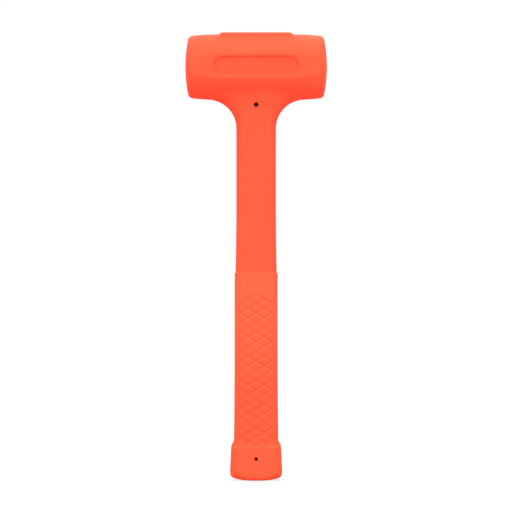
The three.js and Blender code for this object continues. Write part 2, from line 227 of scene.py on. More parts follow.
def round_union(a, b, radius):
    """Union of two distance fields with a fillet of that radius."""
    corner = np.hypot(np.maximum(radius - a, 0), np.maximum(radius - b, 0))
    return np.maximum(radius, np.minimum(a, b)) - corner


def round_overlap(a, b, radius):
    """Intersection of two distance fields with its edge rounded to that radius."""
    corner = np.hypot(np.maximum(radius + a, 0), np.maximum(radius + b, 0))
    return np.minimum(-radius, np.maximum(a, b)) + corner


def soft_overlap(a, b, softness):
    """Intersection of two fields that meet at a shallow angle, softened where they are nearly equal."""
    near = np.maximum(softness - np.abs(a - b), 0) / softness
    return np.maximum(a, b) + near * near * softness / 4


def ball_union(a, b, cosine, radius):
    """Union with the fillet of a rolling ball, for surfaces whose normals meet at the given cosine."""
    p, q = radius - a, radius - b
    sine_squared = np.maximum(1 - cosine ** 2, 0.05)
    reach = np.sqrt(np.maximum(p * p + q * q - 2 * p * q * cosine, 0) / sine_squared)
    between = (p > 0) & (q > 0) & (p > q * cosine) & (q > p * cosine)
    return np.where(between, radius - reach, np.minimum(a, b))


def oval(x, y, half_width, half_depth):
    """Distance to a flattened oval section, close to true, and how far its normal leans towards Y."""
    n = SECTION_POWER
    u = np.abs(x) / half_width
    v = np.abs(y) / half_depth
    size = np.maximum(u ** n + v ** n, 1e-9) ** (1 / n)
    slope_x = (u / size) ** (n - 1) / half_width
    slope_y = (v / size) ** (n - 1) / half_depth
    slope = np.maximum(np.hypot(slope_x, slope_y), 1e-6)
    return (size - 1) / slope, slope_y / slope


def shaft_half_width(z):
    down = np.maximum(0, SHAFT_WAIST_Z - z) / (SHAFT_WAIST_Z - GRIP_TOP)
    return SHAFT_HALF_WIDTH + SHAFT_SWELL * np.minimum(down, SHAFT_SWELL_STOP) ** 2


def barrel_side(x, y, z):
    """Distance to the barrel's round side, drawn in towards its ends."""
    past = np.clip(np.abs(x) - BARREL_STRAIGHT_HALF, 0, BARREL_END_R / 2)
    return np.hypot(y, z) - BARREL_R + BARREL_END_R - np.sqrt(BARREL_END_R ** 2 - past ** 2)


def barrel_field(x, y, z):
    """The barrel with its crowned striking faces and its two flats."""
    face = np.sqrt((np.abs(x) - BARREL_HALF + FACE_CROWN_R) ** 2 + y ** 2 + z ** 2) - FACE_CROWN_R
    body = round_overlap(barrel_side(x, y, z), face, FACE_CORNER_R)
    return soft_overlap(body, np.abs(y) - FLAT_Y, FLAT_SOFTNESS)


def pad_field(x, y, z):
    """The flat pad on top of the barrel."""
    bevel = (np.abs(x) - PAD_HALF_LENGTH - (PAD_TOP - z)) / math.sqrt(2)
    ends = np.maximum(bevel, np.abs(x) - PAD_HALF_LENGTH - PAD_BEVEL)
    sides = np.abs(y) - PAD_HALF_DEPTH - PAD_SIDE_SLOPE * (PAD_TOP - z)
    walls = round_overlap(ends, sides, PAD_EDGE_R)
    return round_overlap(round_overlap(walls, z - PAD_TOP, PAD_EDGE_R), PAD_FOOT - z, PAD_EDGE_R)


def recess_field(x, y, z):
    """The pocket of the round-ended recess, front and back, with sloped walls."""
    straight = RECESS_HALF_LENGTH - RECESS_HALF_HEIGHT
    outline = np.hypot(np.maximum(np.abs(x) - straight, 0), z) - RECESS_HALF_HEIGHT
    above_floor = np.abs(y) - (FLAT_Y - RECESS_DEPTH)
    wall = (outline + RECESS_DEPTH * math.tan(RECESS_DRAFT) / 2) * math.cos(RECESS_DRAFT)
    return round_overlap(wall - above_floor * math.sin(RECESS_DRAFT), -above_floor, RECESS_EDGE_R)


def core_field(x, y, z):
    """Room inside the casting for the canister, the weld and the rod."""
    canister = np.maximum(np.hypot(y, z) - CANISTER_R - FIT, np.abs(x) - CANISTER_HALF - FIT)
    reach = np.hypot(x, y)
    rod = np.maximum(reach - ROD_R - FIT, z)
    shoulder = WELD_END + WELD_SHOULDER - HEAD_Z
    cone = (reach - WELD_R - FIT + np.maximum(shoulder - z, 0) * WELD_TAPER) * WELD_TAPER_SCALE
    weld = np.maximum(cone, np.maximum(z, WELD_END - HEAD_Z - FIT - z))
    return np.minimum(canister, np.minimum(rod, weld))


def head_field(x, y, height):
    """Distance to the whole casting: barrel, pad, neck, shaft and the stub inside the grip."""
    z = height - HEAD_Z
    half_width = shaft_half_width(height)
    shaft, lean = oval(x, y, half_width, half_width - SHAFT_DEPTH_LOSS)
    shaft = round_overlap(shaft, GRIP_TOP - SHAFT_SEAT - height, SHAFT_SHOULDER_R)
    stub, _ = oval(x, y, STUB_HALF_WIDTH, STUB_HALF_DEPTH)
    stub = round_overlap(stub, STUB_END - height, STUB_END_R)
    handle = np.maximum(np.minimum(shaft, stub), z + HANDLE_SINK)
    cosine = lean * np.abs(y) / np.maximum(np.hypot(y, z), 1e-6)
    neck = ball_union(barrel_side(x, y, z), handle, cosine, NECK_R)
    neck = np.where(z < 0, np.maximum(neck, np.abs(y) - FLAT_Y), FAR)
    neck = np.maximum(neck, np.abs(x) - NECK_REACH)
    body = np.minimum(np.minimum(barrel_field(x, y, z), handle), neck)
    side_share = np.clip((np.abs(y) - PAD_HALF_DEPTH) / PAD_ROOT_BLEND + 1, 0, 1)
    root_r = PAD_ROOT_R + (PAD_SIDE_ROOT_R - PAD_ROOT_R) * side_share
    body = round_union(body, pad_field(x, y, z), root_r)
    body = round_overlap(body, -recess_field(x, y, z), RECESS_EDGE_R)
    body = np.maximum(body, -core_field(x, y, z))
    pin = np.hypot(x, height - NECK_PIN_Z) - NECK_PIN_R
    return round_overlap(body, -pin, PIN_LIP_R)


# ---------------------------------------------------------------- meshing

def spaced(stops):
    """Grid lines through (position, step) stops: from each stop on, lines are about its step apart."""
    lines = [np.array([stops[0][0]], float)]
    for (start, step), (end, _) in zip(stops, stops[1:]):
        count = max(1, round((end - start) / step))
        lines.append(start + (end - start) * np.arange(1, count + 1) / count)
    return np.concatenate(lines)


def mirrored(stops):
    """Grid lines on both sides of zero, from the stops on the positive side."""
    half = spaced(stops)
    return np.concatenate([-half[:0:-1], half])


def surface(field, xs, ys, zs):
    """Vertices and quads of a field's zero surface on a grid of uneven lines (surface nets)."""
    grid = field(xs[:, None, None], ys[None, :, None], zs[None, None, :])
    inside = grid < 0
    cells = np.zeros([n - 1 for n in grid.shape], int)
    corners = [(a, b, c) for a in (0, 1) for b in (0, 1) for c in (0, 1)]
    nx, ny, nz = cells.shape
    for a, b, c in corners:
        cells += inside[a:a + nx, b:b + ny, c:c + nz]
    i, j, k = np.nonzero((cells > 0) & (cells < 8))
    number = np.full(cells.shape, -1)
    number[i, j, k] = np.arange(len(i))
    total = np.zeros((len(i), 3))
    hits = np.zeros(len(i))
    for a, b, c in corners:
        for axis in range(3):
            if (a, b, c)[axis]:
                continue
            low = [i + a, j + b, k + c]
            high = list(low)
            high[axis] = low[axis] + 1
            v0, v1 = grid[tuple(low)], grid[tuple(high)]
            crossing = (v0 < 0) != (v1 < 0)
            share = np.where(crossing, v0 / np.where(crossing, v0 - v1, 1), 0)
            p0 = np.stack([xs[low[0]], ys[low[1]], zs[low[2]]], 1)
            p1 = np.stack([xs[high[0]], ys[high[1]], zs[high[2]]], 1)
            total += np.where(crossing[:, None], p0 + (p1 - p0) * share[:, None], 0)
            hits += crossing
    points = total / hits[:, None]
    quads = []
    for axis in range(3):
        ahead = [slice(None)] * 3
        behind = [slice(None)] * 3
        ahead[axis], behind[axis] = slice(1, None), slice(None, -1)
        first, second = inside[tuple(behind)], inside[tuple(ahead)]
        at = np.stack(np.nonzero(first != second), 1)
        others = [n for n in range(3) if n != axis]
        keep = np.all([(at[:, n] > 0) & (at[:, n] < inside.shape[n] - 1) for n in others], axis=0)
        at = at[keep]
        outward = first[tuple(at.T)]
        around = []
        for du, dv in ((-1, -1), (0, -1), (0, 0), (-1, 0)):
            cell = at.copy()
            cell[:, others[0]] += du
            cell[:, others[1]] += dv
            around.append(number[tuple(cell.T)])
        loop = np.stack(around, 1)
        if axis == 1:
            outward = ~outward
        loop[~outward] = loop[~outward][:, ::-1]
        quads.append(loop)
    points = settle_on(field, points)
    return points, np.concatenate(quads)


def settle_on(field, points):
    """Moves points along the field's gradient until they lie on its zero surface."""
    start = points.copy()
    step = 0.02
    reach = 0.6
    for _ in range(4):
        value = field(*points.T)
        slope = np.zeros_like(points)
        for axis in range(3):
            shift = np.zeros(3)
            shift[axis] = step
            slope[:, axis] = (field(*(points + shift).T) - field(*(points - shift).T)) / (2 * step)
        size = np.maximum((slope ** 2).sum(1), 0.05)
        points = points - slope * (value / size)[:, None]
        points = start + np.clip(points - start, -reach, reach)
    return points


def make_mesh(name, points, faces, smooth_angle=40):
    """A mesh object from points in millimetres, smooth apart from edges sharper than the angle."""
    mesh = bpy.data.meshes.new(name)
    mesh.from_pydata((np.asarray(points) * MM).tolist(), [], [tuple(f) for f in np.asarray(faces, object)])
    mesh.validate()
    mesh.update()
    mesh.shade_smooth()
    mesh.set_sharp_from_angle(angle=math.radians(smooth_angle))
    made = bpy.data.objects.new(name, mesh)
    bpy.context.scene.collection.objects.link(made)
    return made


# ---------------------------------------------------------------- rings

def ring_faces(rows, columns, start=0):
    """Quads between each ring of points and the next."""
    row, column = np.meshgrid(np.arange(rows - 1), np.arange(columns), indexing="ij")
    a = start + row * columns + column
    b = start + row * columns + (column + 1) % columns
    return np.stack([a, b, b + columns, a + columns], -1).reshape(-1, 4).tolist()


def closed_rings(rings):
    """Points and faces of a closed solid through rings, with a fan over the first and the last."""
    columns = len(rings[0])
    points = np.concatenate(rings)
    faces = ring_faces(len(rings), columns)
    last = (len(rings) - 1) * columns
    middle = len(points)
    points = np.concatenate([points, [rings[0].mean(0)], [rings[-1].mean(0)]])
    for i in range(columns):
        after = (i + 1) % columns
        faces.append([middle, after, i])
        faces.append([middle + 1, last + i, last + after])
    return points, faces


def looped_faces(rings):
    """Quads through rings whose last one joins the first again."""
    columns = len(rings[0])
    faces = ring_faces(len(rings), columns)
    last = (len(rings) - 1) * columns
    for i in range(columns):
        after = (i + 1) % columns
        faces.append([last + i, last + after, after, i])
    return faces


def turned(profile, segments, axis_x):
    """Rings of a turned piece. Each profile point is (radius, place along the axis)."""
    turn = 2 * math.pi * np.arange(segments) / segments
    rings = []
    for radius, along in profile:
        u, v = radius * np.cos(turn), radius * np.sin(turn)
        flat = np.full(segments, along)
        if axis_x:
            rings.append(np.stack([flat, u, HEAD_Z + v], 1))
        else:
            rings.append(np.stack([u, v, flat], 1))
    return rings


def arc(centre, radius, start, end, steps):
    """Profile points on an arc, angles in degrees from the first coordinate's direction."""
    angles = np.radians(np.linspace(start, end, steps + 1))
    return [(centre[0] + radius * math.cos(a), centre[1] + radius * math.sin(a)) for a in angles]


# ---------------------------------------------------------------- grip

def smooth(share):
    return share * share * (3 - 2 * share)


def grip_growth(z):
    """How far down the grip a height is, from 0 to 1, and the widening of the butt's taper there."""
    down = np.clip((GRIP_TOP - z) / (GRIP_TOP - FLARE_TOP), 0, 1)
    taper = np.clip((FLARE_END - z) / (FLARE_END - BUTT_WIDEST), 0, 1)
    return down, (BUTT_HALF_WIDTH - BUTT_TOP_HALF_WIDTH) * taper


def grip_half_width(z):
    down, taper = grip_growth(z)
    out = np.clip((FLARE_TOP - z) / (FLARE_TOP - FLARE_END), 0, 1)
    flare = (BUTT_TOP_HALF_WIDTH - GRIP_HALF_WIDTH - GRIP_SWELL) * (1 - (1 - out) ** FLARE_POWER)
    return GRIP_HALF_WIDTH + GRIP_SWELL * down ** 3 + flare + taper


def grip_half_depth(z):
    down, taper = grip_growth(z)
    out = np.clip((LEDGE_TOP - z) / (LEDGE_TOP - LEDGE_END), 0, 1)
    ledge = (BUTT_TOP_HALF_WIDTH - GRIP_HALF_WIDTH - GRIP_SWELL) * smooth(out)
    widths = GRIP_HALF_WIDTH + GRIP_SWELL * down ** 3 + ledge + taper
    return GRIP_DEPTH_RATIO * widths + PALM_SWELL * np.sin(math.pi * down ** 0.8) ** 2


def grip_columns():
    """Unit outline of the grip's section, with fine columns on the front and back faces."""

    def partner(share):
        """The other coordinate of a point on the unit outline."""
        return (1 - share ** SECTION_POWER) ** (1 / SECTION_POWER)

    edge = partner(FACE_SHARE)
    wide = np.linspace(-FACE_SHARE, FACE_SHARE, FACE_COLUMNS)
    deep = np.linspace(-edge, edge, SIDE_COLUMNS)[1:-1]
    front = np.stack([wide, -partner(wide)], 1)
    right = np.stack([partner(deep), deep], 1)
    return np.concatenate([front, right, -front, -right])


def diamond_depth(x, z):
    """How deep the texture's grooves are at a place on the grip's face."""
    half_w, half_h = DIAMOND_HALF_WIDTH, DIAMOND_HALF_HEIGHT
    per_mm = math.hypot(1 / half_w, 1 / half_h) / 2
    a = (x / half_w + (z - FIELD_APEX) / half_h) / 2
    b = (-x / half_w + (z - FIELD_APEX) / half_h) / 2
    i, j = np.floor(a), np.floor(b)

    def in_field(i, j):
        return (i <= -1) & (j <= -1) & (i + j >= -FIELD_ROWS)

    here = in_field(i, j)
    nearest = np.full(np.shape(a + b), FAR)
    for di, dj, gap in ((-1, 0, a - i), (1, 0, i + 1 - a), (0, -1, b - j), (0, 1, j + 1 - b)):
        bounds_it = here | in_field(i + di, j + dj)
        nearest = np.where(bounds_it, np.minimum(nearest, gap / per_mm), nearest)
    side = np.abs(FIELD_HALF_WIDTH - np.abs(x))
    roof = FIELD_APEX - np.minimum(np.abs(x), FIELD_HALF_WIDTH) * half_h / half_w
    foot = FIELD_APEX - (FIELD_ROWS - 1) * half_h
    beside = (z < roof + 0.5) & (z > foot)
    outside = np.abs(x) > FIELD_HALF_WIDTH
    nearest = np.where(outside, FAR, nearest)
    nearest = np.where(beside, np.minimum(nearest, side), nearest)
    wall = 1 - np.clip(nearest / GROOVE_HALF_WIDTH, 0, 1)
    groove = GROOVE_DEPTH * smooth(wall)
    pillow = np.where(here & ~outside, PILLOW * (1 - np.clip(nearest * per_mm * 2, 0, 1)), 0)
    return groove + pillow


def grip_rows():
    """(height, half width, half depth) of each ring, from the butt's underside up to the grip's top edge."""
    rows = []
    foot_width = BUTT_HALF_WIDTH - BUTT_TUCK
    foot_depth = BUTT_HALF_DEPTH
    for share in np.linspace(0.12, 1, BUTT_RINGS):
        rows.append((0, share * (foot_width - BUTT_CORNER_R), share * (foot_depth - BUTT_CORNER_DEPTH)))
    for turn in np.radians(np.linspace(12, 90, BUTT_RINGS)):
        short = 1 - math.sin(turn)
        z = BUTT_CORNER_R * (1 - math.cos(turn))
        rows.append((z, foot_width - BUTT_CORNER_R * short, foot_depth - BUTT_CORNER_DEPTH * short))
    bevel_foot = GRIP_TOP - GRIP_BEVEL_HEIGHT
    stops = [(BUTT_WIDEST, 0.8), (LEDGE_END - 0.4, 0.2), (FLARE_TOP + 0.2, 0.4), (FIELD_APEX + 2, 1.1)]
    for z in spaced(stops + [(bevel_foot - GRIP_LIP_REACH, 0.27), (bevel_foot, 0)]):
        lip = GRIP_LIP * smooth(np.clip((z - bevel_foot) / GRIP_LIP_REACH + 1, 0, 1))
        rows.append((z, grip_half_width(z) + lip, grip_half_depth(z) + lip))
    # The bevel, with both its edges eased: shares of its height and of its inset
    for up, inset in ((0.08, 0.02), (0.2, 0.1), (0.8, 0.75), (0.92, 0.9), (1, 1)):
        z = bevel_foot + GRIP_BEVEL_HEIGHT * up
        change = GRIP_LIP - (GRIP_BEVEL + GRIP_LIP) * inset
        rows.append((z, grip_half_width(z) + change, grip_half_depth(z) + change))
    return rows


def grip_shell():
    """The grip sleeve: textured outside, butt, and the pocket for the shaft's stub and the rod."""
    outline = grip_columns()
    columns = len(outline)
    rings = []
    on_face = np.abs(outline[:, 1]) > 0.5
    for z, half_width, half_depth in grip_rows():
        x, y = (outline * (half_width, half_depth)).T
        normal = outline ** (SECTION_POWER - 1) / (half_width, half_depth)
        normal /= np.linalg.norm(normal, axis=1)[:, None]
        depth = np.zeros(columns)
        if FLARE_TOP - 6 < z < FIELD_APEX + 2:
            depth = diamond_depth(x, np.full(columns, z)) * on_face
        crown = np.maximum(x ** 2 + y ** 2 - BUTT_FLAT_HALF ** 2, 0) / (2 * BUTT_CROWN_R)
        lift = crown * max(0, 1 - z / BUTT_WIDEST)
        rings.append(np.stack([x - normal[:, 0] * depth, y - normal[:, 1] * depth, z + lift], 1))
    shaft_w = float(shaft_half_width(GRIP_TOP))
    seat = GRIP_TOP - SHAFT_SEAT - FIT
    inner = []
    for z in (GRIP_TOP, seat):
        inner.append((z, shaft_w + FIT, shaft_w - SHAFT_DEPTH_LOSS + FIT))
    for z in (seat, STUB_END - FIT):
        inner.append((z, STUB_HALF_WIDTH + FIT, STUB_HALF_DEPTH + FIT))
    for z, half_width, half_depth in inner:
        x, y = (outline * (half_width, half_depth)).T
        rings.append(np.stack([x, y, np.full(columns, z)], 1))
    around = np.arctan2(outline[:, 1], outline[:, 0])
    for z in (STUB_END - FIT, ROD_END - FIT):
        x, y = (ROD_R + FIT) * np.cos(around), (ROD_R + FIT) * np.sin(around)
        rings.append(np.stack([x, y, np.full(columns, z)], 1))
    points, faces = closed_rings(rings)
    shell = make_mesh("grip_shell", points, faces)
    bore_pins(shell)
    return shell


def bore_pins(shell):
    """Cuts the core-pin holes through the butt."""
    turn = 2 * math.pi * np.arange(PIN_SIDES) / PIN_SIDES
    reach = BUTT_HALF_DEPTH + 4
    rings = []
    x, z = BUTT_PIN_R * np.cos(turn), BUTT_PIN_Z - BUTT_PIN_R * np.sin(turn)
    for y in (-reach, reach):
        rings.append(np.stack([x, np.full(PIN_SIDES, y), z], 1))
    points, faces = closed_rings(rings)
    cutter = make_mesh("pin_cutter", points, faces)
    cut = shell.modifiers.new("pins", "BOOLEAN")
    cut.operation = "DIFFERENCE"
    cut.solver = "EXACT"
    cut.object = cutter
    bake_modifiers(shell)
    bpy.data.objects.remove(cutter)
    shell.data.set_sharp_from_angle(angle=math.radians(40))


def bake_modifiers(made):
    """Replaces an object's mesh by the result of its modifiers."""
    graph = bpy.context.evaluated_depsgraph_get()
    final = bpy.data.meshes.new_from_object(made.evaluated_get(graph))
    made.modifiers.clear()
    made.data = final


# ---------------------------------------------------------------- head

def head_shell():
    """The urethane casting, from its distance field, with closer grid lines where it has edges."""
    past_pin = 3.6
    edge_in, edge_out = 4.5, 8.5  # the recess's long edges lie between these
    pad_from, pad_past = 19.5, 24
    xs = mirrored([
        (0, 0.45), (past_pin, 0.9), (9, 0.9), (20.5, 0.55), (31.5, 1.0), (42, 0.55), (49.2, 0.5),
    ])
    ys = mirrored([(0, 0.45), (past_pin, 0.9), (18, 0.6), (19.2, 0.3), (21.7, 0.3), (23, 0.6)])
    zs = spaced([
        (STUB_END - 3, 0.7), (STUB_END + 3, 5), (GRIP_TOP - 5, 0.4), (GRIP_TOP + 2, 1.6),
        (NECK_PIN_Z - 16, 1.0), (NECK_PIN_Z - 3, 0.45), (NECK_PIN_Z + 3, 0.8),
        (HEAD_Z - edge_out, 0.35), (HEAD_Z - edge_in, 0.9),
        (HEAD_Z + edge_in, 0.35), (HEAD_Z + edge_out, 0.8),
        (HEAD_Z + pad_from, 0.35), (HEAD_Z + pad_past, 0.35),
    ])
    points, quads = surface(head_field, xs, ys, zs)
    return make_mesh("head_shell", points, quads, 60)


# ---------------------------------------------------------------- steel core

def canister_shell():
    """Steel tube with a counterbored seat at each end and small bevels."""
    bevel = TUBE_BEVEL
    seat_x = CAP_INNER_X - SEAT_GAP
    corner_x = CANISTER_HALF - bevel
    outer = [
        (CANISTER_R - bevel, -CANISTER_HALF), (CANISTER_R, -corner_x),
        (CANISTER_R, corner_x), (CANISTER_R - bevel, CANISTER_HALF),
    ]
    seat_r = CAP_R + FIT
    inner = [
        (seat_r + bevel, CANISTER_HALF), (seat_r, corner_x), (seat_r, seat_x),
        (BORE_R, seat_x), (BORE_R, -seat_x), (seat_r, -seat_x), (seat_r, -corner_x),
        (seat_r + bevel, -CANISTER_HALF),
    ]
    profile = outer + inner
    rings = turned(profile, TURNED_SEGMENTS, True)
    return make_mesh("canister_shell", np.concatenate(rings), looped_faces(rings), 30)


def canister_disc(side):
    """One pressed cap: rounded rim and a dish in its outer face."""
    bevel = CAP_BEVEL
    dish_r = CAP_DISH_SHARE * CAP_R
    profile = [(0.35 * CAP_R, CAP_INNER_X), (CAP_R - bevel, CAP_INNER_X), (CAP_R, CAP_INNER_X + bevel)]
    profile += arc((CAP_R - CAP_RIM_R, CANISTER_HALF - CAP_RIM_R), CAP_RIM_R, 0, 90, 6)
    profile += arc((dish_r + CAP_DISH_R, CANISTER_HALF - CAP_DISH_R), CAP_DISH_R, 90, 180, 5)
    profile.append((0.6 * CAP_R, CANISTER_HALF - CAP_DISH_DEPTH))
    profile.append((0.3 * CAP_R, CANISTER_HALF - 1.15 * CAP_DISH_DEPTH))
    placed = [(radius, side * along) for radius, along in profile]
    rings = turned(placed if side > 0 else placed[::-1], TURNED_SEGMENTS, True)
    points, faces = closed_rings(rings)
    return make_mesh("canister_disc_right" if side > 0 else "canister_disc_left", points, faces, 30)


def canister_underside(y):
    """Height of the canister's lower surface above a line at y, less the fit."""
    return HEAD_Z - np.sqrt((CANISTER_R + FIT) ** 2 - y ** 2)


def core_rod():
    """Round bar with a bevelled foot, turned keying grooves and a top coped to the canister."""
    profile = [(0.4 * ROD_R, ROD_END), (ROD_R - ROD_CHAMFER, ROD_END), (ROD_R, ROD_END + ROD_CHAMFER)]
    for groove in range(KEY_COUNT):
        middle = KEY_FIRST_Z + KEY_PITCH * groove
        for share, loss in ((-1, 0), (-0.5, KEY_DEPTH), (0.5, KEY_DEPTH), (1, 0)):
            profile.append((ROD_R - loss, middle + share * KEY_HALF_WIDTH))
    for z in np.linspace(60, WELD_END, 12):
        profile.append((ROD_R, z))
    rings = turned(profile, ROD_SEGMENTS, False)
    for share in (1, 0.7, 0.4):
        ring = turned([(ROD_R * share, 0)], ROD_SEGMENTS, False)[0]
        ring[:, 2] = canister_underside(ring[:, 1])
        rings.append(ring)
    points, faces = closed_rings(rings)
    return make_mesh("core_rod", points, faces, 30)


def weld_bead():
    """Fillet weld between rod and canister, with the ripples of its passes."""
    turn = 2 * math.pi * np.arange(WELD_SEGMENTS) / WELD_SEGMENTS
    inner = ROD_R + FIT
    width = WELD_R - WELD_INSET - inner
    rings = []
    ripple = WELD_RIPPLE_HEIGHT * np.abs(np.sin(turn * WELD_RIPPLES))
    foot = WELD_END + 2 * WELD_WAVE + WELD_WAVE * np.sin(turn * 5 + 1)
    top = canister_underside(WELD_R * np.sin(turn)) - FIT
    for share in np.linspace(0, 1, 12):
        sag = math.sin(math.pi * share) * WELD_SAG
        waves = ripple * math.sin(math.pi * share)
        radius = inner + width * share ** 0.9 + sag * 0.4 + waves
        height = foot + (top - foot) * share ** 1.15 - sag * 0.5
        rings.append(np.stack([radius * np.cos(turn), radius * np.sin(turn), height], 1))
    for share in (0.6, 0):
        radius = inner + width * share
        height = canister_underside(radius * np.sin(turn)) - FIT
        rings.append(np.stack([radius * np.cos(turn), radius * np.sin(turn), height], 1))
    return make_mesh("weld_bead", np.concatenate(rings), looped_faces(rings), 50)


# ---------------------------------------------------------------- shot

def settled_balls(radius, count):
    """Centres of loose balls settled in the lower part of the canister, as a heap."""
    random = np.random.default_rng(7)
    room = BORE_R - radius - BALL_GAP
    reach = SHOT_HALF - radius
    angle = random.uniform(0, 2 * math.pi, count)
    spread = room * np.sqrt(random.uniform(0, 1, count))
    along = random.uniform(-reach, reach, count)
    centres = np.stack([along, spread * np.cos(angle), spread * np.sin(angle)], 1)
    for step in range(SETTLE_STEPS):
        centres[:, 2] -= FALL_STEP if step < FALL_STEPS else 0
        apart = centres[:, None] - centres[None]
        distance = np.sqrt((apart ** 2).sum(2)) + np.eye(count) * FAR
        push = np.clip(2 * radius - distance, 0, None) / 2
        centres += (apart / distance[..., None] * push[..., None]).sum(1) * 0.6
        out = np.hypot(centres[:, 1], centres[:, 2])
        scale = np.minimum(1, room / np.maximum(out, 1e-6))
        centres[:, 1:] *= scale[:, None]
        limit = reach - HEAP_SLOPE * np.clip(centres[:, 2] + room, 0, None)
        centres[:, 0] = np.clip(centres[:, 0], -limit, limit)
    centres[:, 2] += HEAD_Z
    return centres


def shot_balls():
    """The loose steel shot, each ball very slightly out of round."""
    ball = bpy.data.meshes.new("one_ball")
    shape = bmesh.new()
    bmesh.ops.create_icosphere(shape, subdivisions=3, radius=1)
    shape.to_mesh(ball)
    shape.free()
    unit = np.array([v.co for v in ball.vertices])
    triangles = np.array([list(p.vertices) for p in ball.polygons])
    bpy.data.meshes.remove(ball)
    random = np.random.default_rng(11)
    points, faces = [], []
    for index, centre in enumerate(settled_balls(BALL_R, BALL_COUNT)):
        stretch = BALL_R * (0.985 + 0.015 * random.uniform(-1, 1, 3))
        points.append(unit * stretch + centre)
        faces.append(triangles + index * len(unit))
    return make_mesh("shot_balls", np.concatenate(points), np.concatenate(faces), 80)


# ---------------------------------------------------------------- materials

class Nodes:
    """A short way to add and join a material's nodes."""

    def __init__(self, name):
        self.material = bpy.data.materials.new(name)
        self.material.use_nodes = True
        self.tree = self.material.node_tree
        self.shader = self.tree.nodes["Principled BSDF"]
        self.place = self.tree.nodes.new("ShaderNodeTexCoord").outputs["Object"]

    def add(self, kind, **values):
        """A new node. Each value is set as a property of the node, or else as the input of that name."""
        node = self.tree.nodes.new(kind)
        for key, value in values.items():
            if hasattr(node, key):
                setattr(node, key, value)
            else:
                node.inputs[key.replace("_", " ").title()].default_value = value
        return node

    def join(self, output, target):
        self.tree.links.new(output, target)

    def tinted(self, colour, share, gain):
        """The colour with its green and blue multiplied by the gain where the share is 1."""
        first, second, result = 6, 7, 2  # the node's colour sockets
        mix = self.add("ShaderNodeMix", data_type="RGBA", blend_type="MULTIPLY")
        self.join(share, mix.inputs["Factor"])
        self.join(colour, mix.inputs[first])
        mix.inputs[second].default_value = (1, gain, gain, 1)
        return mix.outputs[result]

    def roughen(self, value, low, high):
        """Roughness that follows a pattern between two levels."""
        self.join(self.ramp(value, (low,) * 3 + (1,), (high,) * 3 + (1,)), self.shader.inputs["Roughness"])

    def noise(self, scale, detail=2, roughness=0.5):
        """A noise pattern; the scale is in cells per metre."""
        node = self.add("ShaderNodeTexNoise", Scale=scale, Detail=detail, Roughness=roughness)
        self.join(self.place, node.inputs["Vector"])
        return node.outputs["Fac"]

    def ramp(self, value, low, high, start=0.3, end=0.7):
        """A change from one colour to another over the middle of the pattern."""
        node = self.add("ShaderNodeValToRGB")
        first, second = node.color_ramp.elements
        first.position, second.position = start, end
        first.color, second.color = low, high
        self.join(value, node.inputs["Fac"])
        return node.outputs["Color"]

    def math(self, operation, first, second=None):
        node = self.add("ShaderNodeMath", operation=operation)
        for socket, value in zip(node.inputs, (first, second)):
            if value is None:
                continue
            if hasattr(value, "is_linked"):
                self.join(value, socket)
            else:
                socket.default_value = value
        return node.outputs[0]

    def bump(self, height, strength, distance, after=None):
        """Relief from a pattern, on top of another relief if one is given."""
        node = self.add("ShaderNodeBump", Strength=strength, Distance=distance)
        self.join(height, node.inputs["Height"])
        if after is not None:
            self.join(after, node.inputs["Normal"])
        return node.outputs["Normal"]


def recess_floor(n, split):
    """Mask of the recess floors, where their painted shade goes: 1 on them and 0 elsewhere, from object
    coordinates.
    """
    depth = n.math("ABSOLUTE", split.outputs["Y"])
    deep = n.math("LESS_THAN", depth, (FLAT_Y - 0.8 * RECESS_DEPTH) * MM)
    off_axis = n.math("ABSOLUTE", n.math("SUBTRACT", split.outputs["Z"], HEAD_Z * MM))
    level = n.math("LESS_THAN", off_axis, RECESS_HALF_HEIGHT * MM)
    along = n.math("LESS_THAN", n.math("ABSOLUTE", split.outputs["X"]), RECESS_HALF_LENGTH * MM)
    return n.math("MULTIPLY", n.math("MULTIPLY", deep, level), along)


def urethane(name, tone, roughness, grain, painted_top_light=None, recess_shade_gain=None):
    """Cast urethane: slightly mottled colour, moulded grain, and a fine parting line in the side plane.

    painted_top_light is (low height, high height, gain): green and blue rise by the gain between the two
    heights, painted light that makes the piece paler towards its top as if lit more from above.
    recess_shade_gain is the same kind of gain on the floors of the recesses, where it lowers green and blue
    as painted shade for the shade that falls in the pockets.
    """
    n = Nodes(name)
    r, g, b = tone
    low = (r * 0.985, g * 0.955, b * 0.95, 1)
    high = (min(1, r * 1.01), g * 1.045, b * 1.05, 1)
    mottle = n.noise(55, 4, 0.6)
    colour = n.ramp(mottle, low, high)
    split = n.add("ShaderNodeSeparateXYZ")
    n.join(n.place, split.inputs[0])
    # painted light: the colour grows paler towards the top
    if painted_top_light:
        start, end, gain = painted_top_light
        share = n.add("ShaderNodeMapRange", interpolation_type="SMOOTHSTEP")
        share.inputs["From Min"].default_value = start
        share.inputs["From Max"].default_value = end
        n.join(split.outputs["Z"], share.inputs["Value"])
        colour = n.tinted(colour, share.outputs["Result"], gain)
    # painted shade: green and blue are lowered on the recess floors
    if recess_shade_gain:
        colour = n.tinted(colour, recess_floor(n, split), recess_shade_gain)
    n.join(colour, n.shader.inputs["Base Color"])
    n.roughen(n.noise(240, 3), roughness - 0.05, roughness + 0.06)
    off_plane = n.math("ABSOLUTE", split.outputs["Y"])
    seam = n.math("LESS_THAN", off_plane, SEAM_HALF_WIDTH * MM)
    fine = n.bump(n.noise(grain, 2), 0.25, 0.00006)
    soft = n.bump(n.noise(130, 2), 0.3, 0.00012, fine)
    n.join(n.bump(seam, 0.35, 0.0001, soft), n.shader.inputs["Normal"])
    n.shader.inputs["Specular IOR Level"].default_value = 0.05
    return n.material


